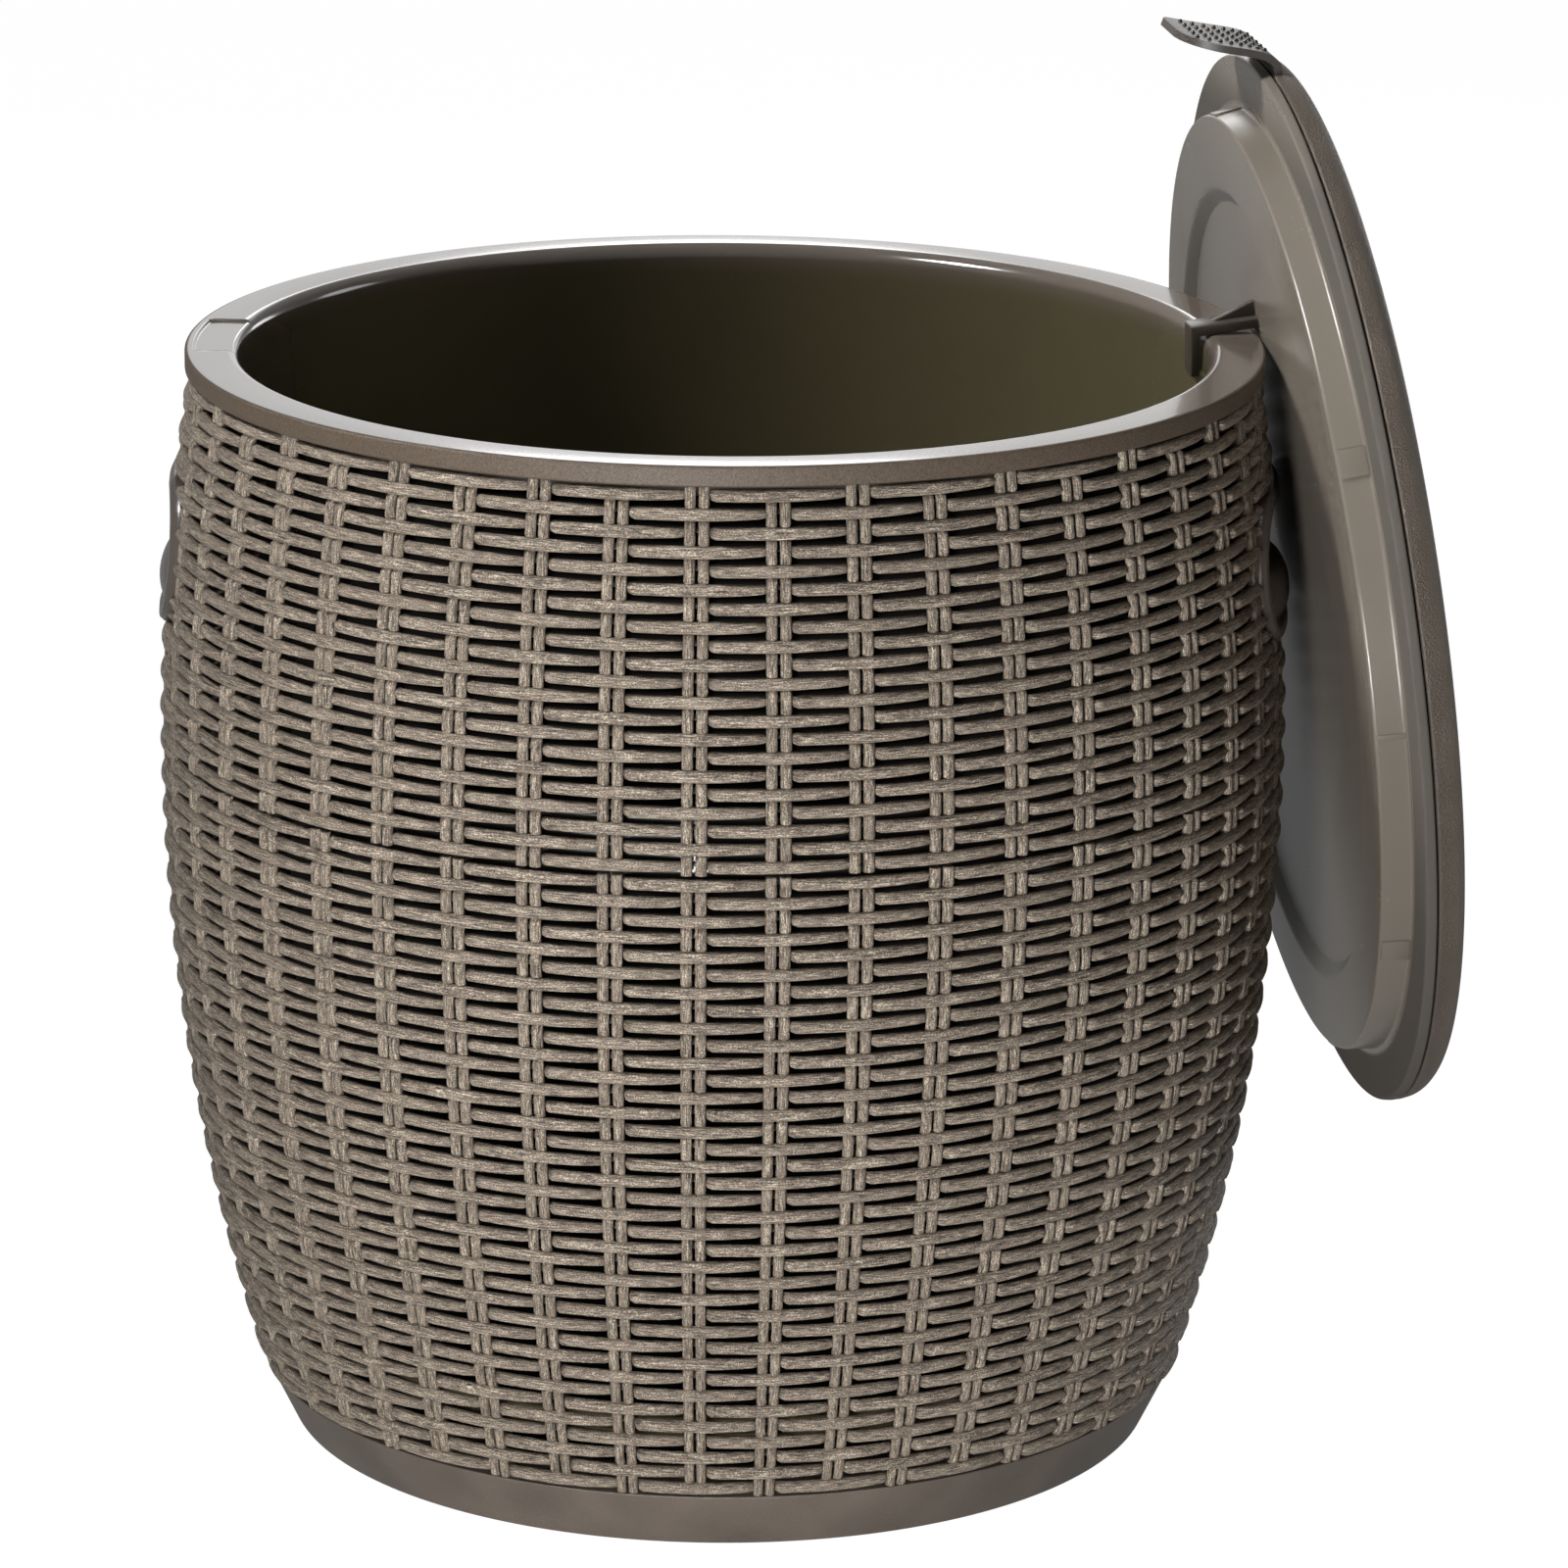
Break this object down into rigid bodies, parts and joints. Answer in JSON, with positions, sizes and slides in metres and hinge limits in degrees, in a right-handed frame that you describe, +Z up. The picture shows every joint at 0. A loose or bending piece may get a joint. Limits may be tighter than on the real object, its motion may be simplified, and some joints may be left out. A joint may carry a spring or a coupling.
{
  "type": "ice bucket coffee table",
  "caption": "Barrel-shaped side table in moulded wicker with an insulated ice bucket inside and a round lid that serves as the table top and hangs on the rim by a hook.",
  "frame": {"origin": "on the floor, on the axis of the barrel", "axes": "+Z up, -Y the front, the two handles on the X axis, the lid hung at +X"},
  "size_m": [0.4858, 0.4493, 0.5285],
  "materials": {
    "weave": "moulded weave, satin",
    "rim": "glossy",
    "foot": "satin",
    "insert": "glossy",
    "table_top": "fine leather grain",
    "underside": "glossy",
    "foam": "foam with a smooth skin",
    "fitting": "satin",
    "seal": "matt",
    "steel": "plain"
  },
  "bodies": {
    "barrel": {"liner_bucket": "rim", "wicker_shell_upper": "weave", "wicker_shell_lower": "weave", "base_pan": "foot", "base_screw_1": "steel", "base_screw_2": "steel", "base_screw_3": "steel", "base_screw_4": "steel", "insulation_sleeve": "foam", "insulation_disc": "foam", "handle_insert_right": "insert", "handle_insert_left": "insert", "drain_fitting": "fitting", "drain_gasket": "seal", "drain_nut": "fitting"},
    "plug": {"drain_plug": "fitting", "drain_plug_seal": "seal"},
    "lid": {"lid_top_shell": "table_top", "lid_underside_shell": "underside", "lid_core": "foam", "lid_tab": "table_top"}
  },
  "joints": [
    {"name": "lid_lift", "type": "slide", "parent": "barrel", "child": "lid", "axis": [0, 0, 1], "range_m": [0, 0.32]},
    {"name": "drain_plug_lift", "type": "slide", "parent": "barrel", "child": "plug", "axis": [0, 0, 1], "range_m": [0, 0.4]}
  ]
}
